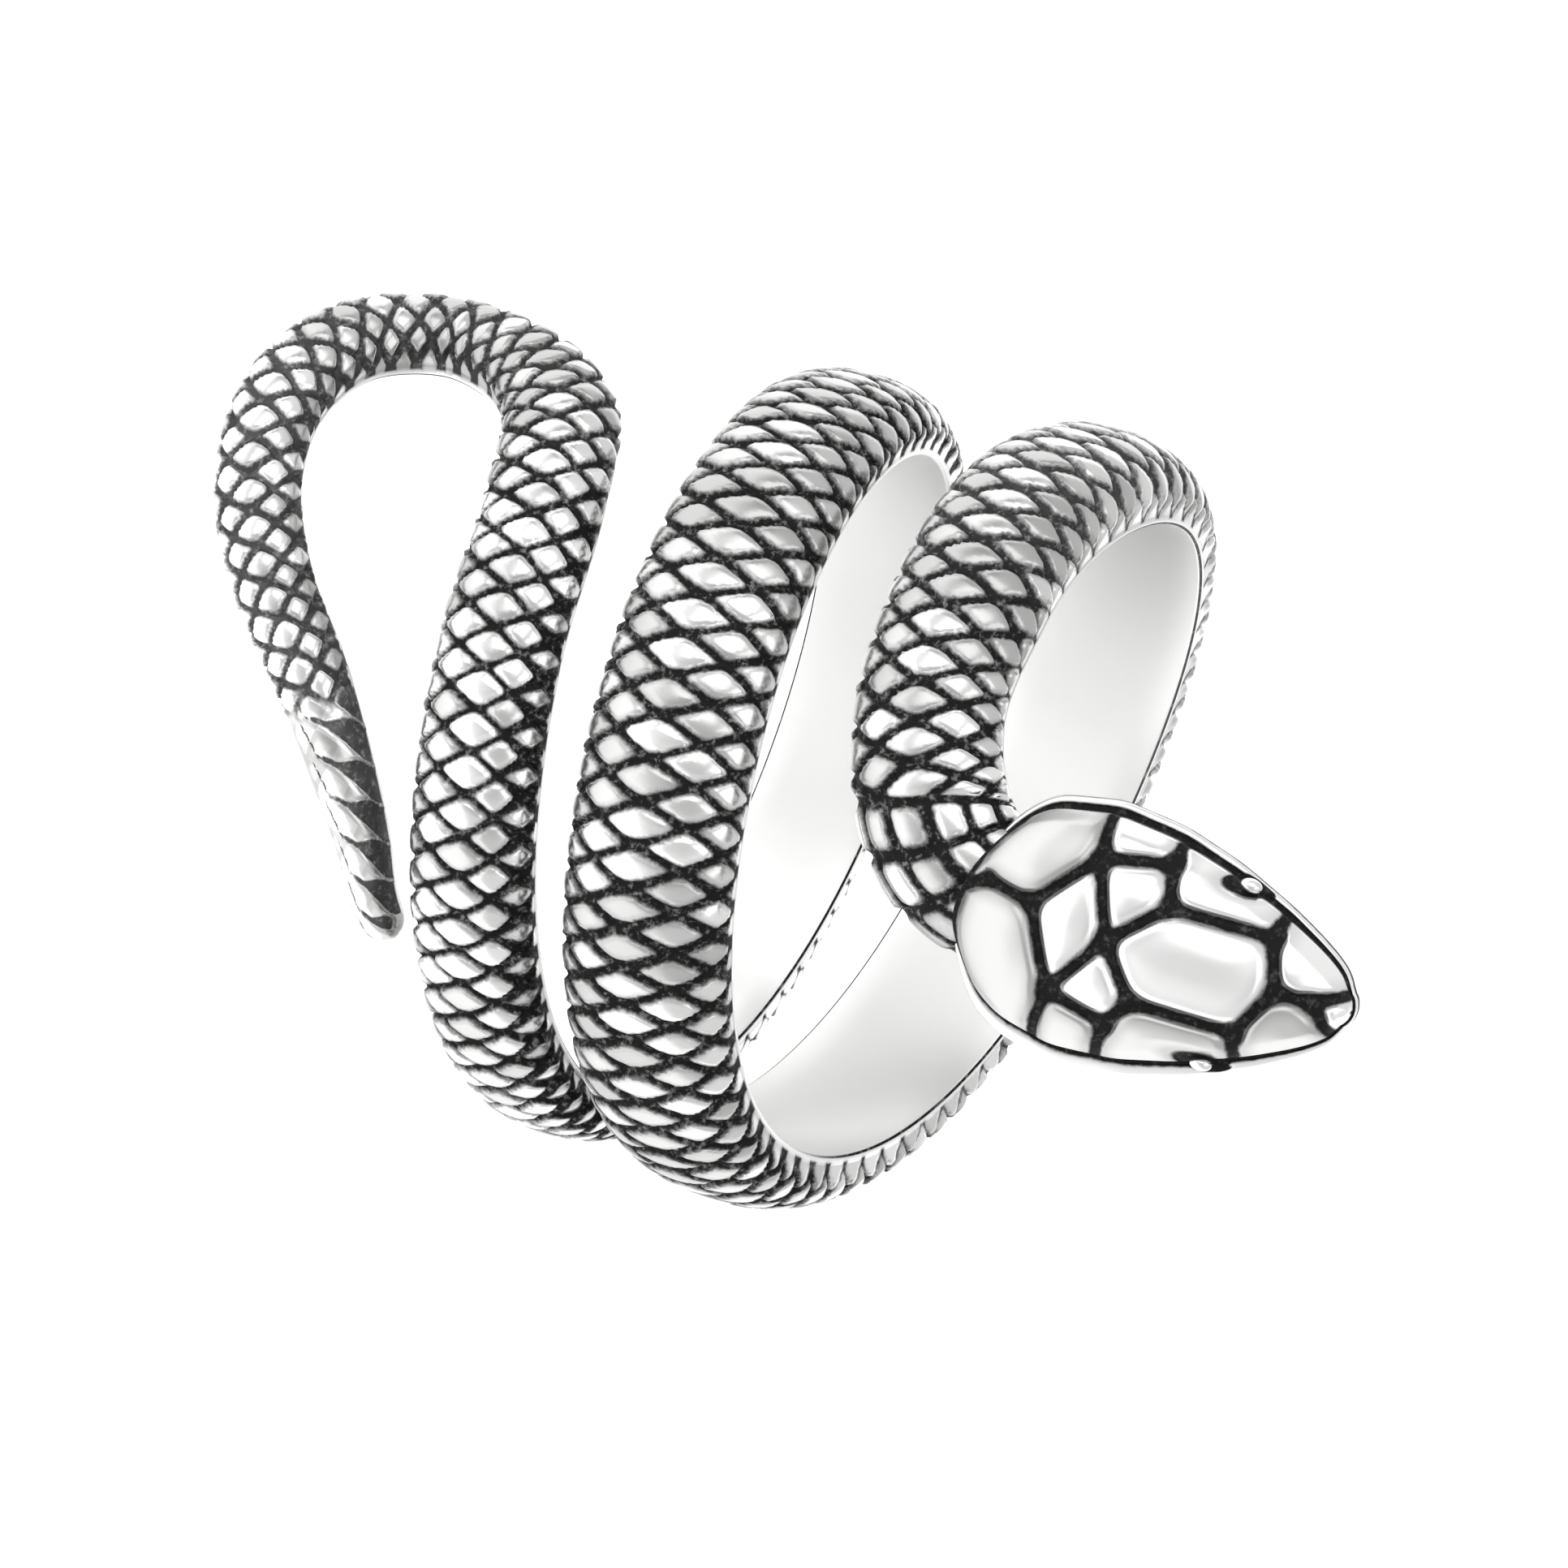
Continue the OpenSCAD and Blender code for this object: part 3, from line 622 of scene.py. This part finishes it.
def scale_material():
    n = Nodes(bpy.data.materials.new("oxidised_silver_scales"))
    split = n.add("ShaderNodeSeparateXYZ")
    n.link(n.add("ShaderNodeUVMap", uv_map="lattice").outputs["UV"], split.inputs[0])
    along, across = split.outputs["X"], split.outputs["Y"]
    cell = n.add("ShaderNodeCombineXYZ")
    n.fill(cell.inputs, (n.math("ROUND", along), n.math("ROUND", across)))
    chance = n.add("ShaderNodeTexWhiteNoise", noise_dimensions="3D")
    n.link(cell.outputs[0], chance.inputs["Vector"])
    chance = chance.outputs["Value"]
    column, row, inside, tail = (n.value(name) for name in ("column", "row", "inside", "tail"))

    def off(value):
        """0 in the middle of a scale and 1 at the groove, to the power of the scale's squareness."""
        return n.math("POWER", n.times(n.math("ABSOLUTE", n.less(value, n.math("ROUND", value))), 2.0),
                      SQUARE_POWER)

    def rows(window, amount):
        start, full, still, end = window
        return n.times(n.spread(row, start, full), n.spread(row, still, end, amount, 0.0))

    rim = n.math("POWER", n.total(off(along), off(across)), 1 / SQUARE_POWER)
    wander = n.wander(0.07)
    # A little more oxide on every flank, and painted shade where the first turn faces the second; the
    # grooves also widen on the inner side of the loop
    flank_oxide_and_shade = n.times(n.spread(column, 3.7, 5.3), n.total(0.05, rows(FIRST_FLANK, 0.29)))
    loop = n.times(n.spread(column, 2.0, 0.7), n.spread(row, 58.0, 42.0, 0.0, 0.18))
    # The half scales at the edges of the band are worn clean, except in front
    rubbed = n.total(n.spread(column, 5.0, 5.6, 0.0, -0.24), n.spread(column, 0.8, 0.2, 0.0, -0.10))
    front = rows(FRONT_OF_SECOND, 1.0)
    behind = n.math("SUBTRACT", n.spread(row, 94.0, 110.0, 0.5, 1.0), front, clamp=True)
    # Painted shade under the second turn; the grooves are also wider on the neck and on the tail's thin
    # part, and narrower on the first turn
    dirt_and_shade = n.total(
        flank_oxide_and_shade, n.times(rubbed, behind), loop, rows(UNDER_SECOND, 0.06), rows(FIRST_TURN, -0.04),
        n.spread(row, 312.0, 320.0, 0.0, 0.07), n.spread(row, 30.0, 60.0, 0.01, 0.0),
        n.spread(chance, 0.0, 1.0, -0.03, 0.05, smooth=False))
    rim = n.total(rim, wander, dirt_and_shade)
    # The neck's first cross groove is dark, and beside the head the scales get painted shade
    scale = n.times(n.spread(rim, 0.90, 0.66), n.spread(n.value("crease"), 0.75, 0.35))
    ring = n.spread(n.total(n.value("ring"), wander), 1.06, 0.90)
    pattern = n.total(n.times(scale, n.less(1.0, tail)), n.times(ring, tail))
    outside = n.less(1.0, inside)
    clean = n.math("MAXIMUM", pattern, n.spread(inside, 0.2, 0.8))
    # A painted dark shade line follows the edges of the hole, and the grooves of the loop and of the
    # third turn's top are lighter
    edge_shade_line = n.math("ADD", n.spread(n.value("line"), 0.96, 0.70), front, clamp=True)
    lighter_grooves = n.math("MAXIMUM", rows(THIRD_TOP, 0.11), n.spread(row, 62.0, 44.0, 0.0, 0.11))
    clean = n.math("MAXIMUM", n.times(clean, edge_shade_line), lighter_grooves)
    # Painted shade on the tail's side and tip; the sum below also darkens scales toward their grooves,
    # at low columns and in listed rows
    tail_side_shade = n.total(n.spread(column, 3.7, 4.6, 0.0, 0.45), n.spread(row, 2.6, 0.4, 0.0, 0.35))
    shade = n.total(
        n.spread(rim, 0.40, 0.80, 0.0, 0.35), n.spread(column, 2.6, 1.2, 0.0, 0.30),
        n.times(tail_side_shade, tail), n.spread(row, 150.0, 175.0, -0.10, 0.12),
        # Painted shade in the listed rows
        *(rows(*painted_shade) for painted_shade in PAINTED_SHADE_ROWS))
    tone = n.less(n.spread(chance, 0.1, 0.9, 0.95, 0.35, smooth=False), shade)
    # The inside is evenly bright, with painted shade at the far side of each turn
    far_shade = n.total(n.spread(row, 262.0, 290.0, 0.0, 0.45), *(rows(*painted_shade) for painted_shade in PAINTED_SHADE_INSIDE))
    even = n.less(n.spread(n.noise(60.0, 1.0), 0.35, 0.65, 0.85, 1.0), far_shade)
    tone = n.math("ADD", n.times(tone, outside), n.times(even, inside), clamp=True)
    return finish_silver(n, clean, tone, n.times(pattern, outside), GROOVE_MM, n.times(inside, 0.14))


def head_material():
    n = Nodes(bpy.data.materials.new("oxidised_silver_head"))
    d = n.value("groove")
    clean = n.spread(n.total(d, n.wander(0.025)), 0.10, 0.19)
    # Painted shade on the nape's plates and on those of the lower cheek
    tone = n.less(n.spread(d, 0.1, 0.6, 0.6, 1.0), n.times(n.value("painted_shade"), 0.70))
    return finish_silver(n, clean, tone, n.spread(d, 0.02, 0.22), GROOVE_MM, satin=0.08, grit=0.3)


def eye_material():
    n = Nodes(bpy.data.materials.new("oxidised_silver_eye"))
    patch = n.noise(2500.0, 2.0)
    return finish_silver(n, n.spread(patch, 0.25, 0.40, 0.7, 1.0), patch, patch, 0.01)


def floor_material():
    n = Nodes(bpy.data.materials.new("white_light_table"))
    for key, value in (("Base Color", PAPER), ("Roughness", 0.9), ("Emission Color", WHITE),
                       ("Emission Strength", 0.58)):
        n.tree.nodes["Principled BSDF"].inputs[key].default_value = value
    return n.owner


body = snake_body()
body.data.materials.append(scale_material())
head = snake_head()
head.data.materials.append(head_material())
eyes = [snake_eye("eye_" + name, eye) for name, eye in zip(("upper", "lower"), EYES)]
eye_metal = eye_material()
for eye in eyes:
    eye.data.materials.append(eye_metal)
for piece in [body, head] + eyes:
    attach(piece, "root")
    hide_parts("snake_ring")

# Floor, light and camera

bpy.ops.mesh.primitive_plane_add(size=3.0, location=(0, 0, 0))
floor = bpy.context.object
floor.name = "floor"
floor.data.materials.append(floor_material())

# The photo's camera: how far it stands round the upright finger and above its base, and its roll, in
# degrees; the height on the finger that it is measured from; its way back, right and up from there
VIEW_ROUND, VIEW_RISE, VIEW_ROLL = 6.159, 18.725, 106.495
VIEW_AT, VIEW_FROM = (0, 0, 5.9), (225.763, -0.892, 0.138)
PHOTO_PX, FOCUS_PX, SENSOR_MM = 1932, 10812.46, 36.0
view = LAY @ turn("Z", VIEW_ROUND) @ turn("Y", -VIEW_RISE) @ turn("X", VIEW_ROLL)
back_way, right_way, up_way = (Vector(way) for way in view.T.tolist())
data = bpy.data.cameras.new("camera")
data.sensor_width, data.sensor_fit = SENSOR_MM, "HORIZONTAL"
data.lens = FOCUS_PX / PHOTO_PX * SENSOR_MM
data.clip_start, data.clip_end = 0.01, 20.0
camera = bpy.data.objects.new("camera", data)
pose = Matrix((right_way, up_way, back_way)).transposed().to_4x4()
pose.translation = Vector((laid(np.array(VIEW_AT)) + view @ VIEW_FROM / 1000).tolist())
camera.matrix_world = pose
bpy.context.scene.collection.objects.link(camera)
bpy.context.scene.camera = camera


def by_view(x, y, z):
    """A place given by the photo's right, up and way to the photographer, in metres."""
    return Vector((0, 0, 0.013)) + right_way * x + up_way * y + back_way * z


def softbox(name, where, size, power):
    light = bpy.data.lights.new(name, "AREA")
    light.shape, light.size, light.size_y = "RECTANGLE", *size
    light.energy = power
    obj = bpy.data.objects.new(name, light)
    obj.location = where
    aim = Vector((0, 0, 0.012))
    obj.rotation_euler = (aim - where).to_track_quat("-Z", "Y").to_euler()
    bpy.context.scene.collection.objects.link(obj)


softbox("key", by_view(0.05, 0.62, 0.72), (1.0, 0.8), 2.7)
softbox("fill", by_view(0.65, -0.05, 0.70), (0.7, 0.9), 1.9)

# A white tent, greyer above the camera's view and on the left of it
world = bpy.data.worlds.new("studio")
sky = Nodes(world)
vector = sky.add("ShaderNodeTexCoord").outputs["Generated"]


def towards(direction):
    node = sky.add("ShaderNodeVectorMath", operation="DOT_PRODUCT")
    sky.link(vector, node.inputs[0])
    node.inputs[1].default_value = direction
    return node.outputs["Value"]


to_right, to_top, to_camera = towards(right_way), towards(up_way), towards(back_way)
dark = sky.times(sky.spread(to_right, -0.25, -0.80), sky.spread(to_camera, 0.70, 0.20))
grey = sky.times(sky.spread(to_top, 0.45, 0.85), sky.spread(to_camera, 0.50, -0.10))
grey = sky.times(grey, sky.spread(to_right, 0.35, 0.0))
shade = sky.math("MAXIMUM", sky.times(dark, 0.65), grey)
glow = sky.times(sky.spread(to_camera, 0.75, 0.98, 0.88, 0.68), sky.spread(shade, 0.0, 1.0, 1.0, 0.40))
background = sky.tree.nodes["Background"]
background.inputs["Color"].default_value = WHITE
sky.link(glow, background.inputs["Strength"])
bpy.context.scene.world = world
bpy.context.scene.view_settings.view_transform = "Standard"
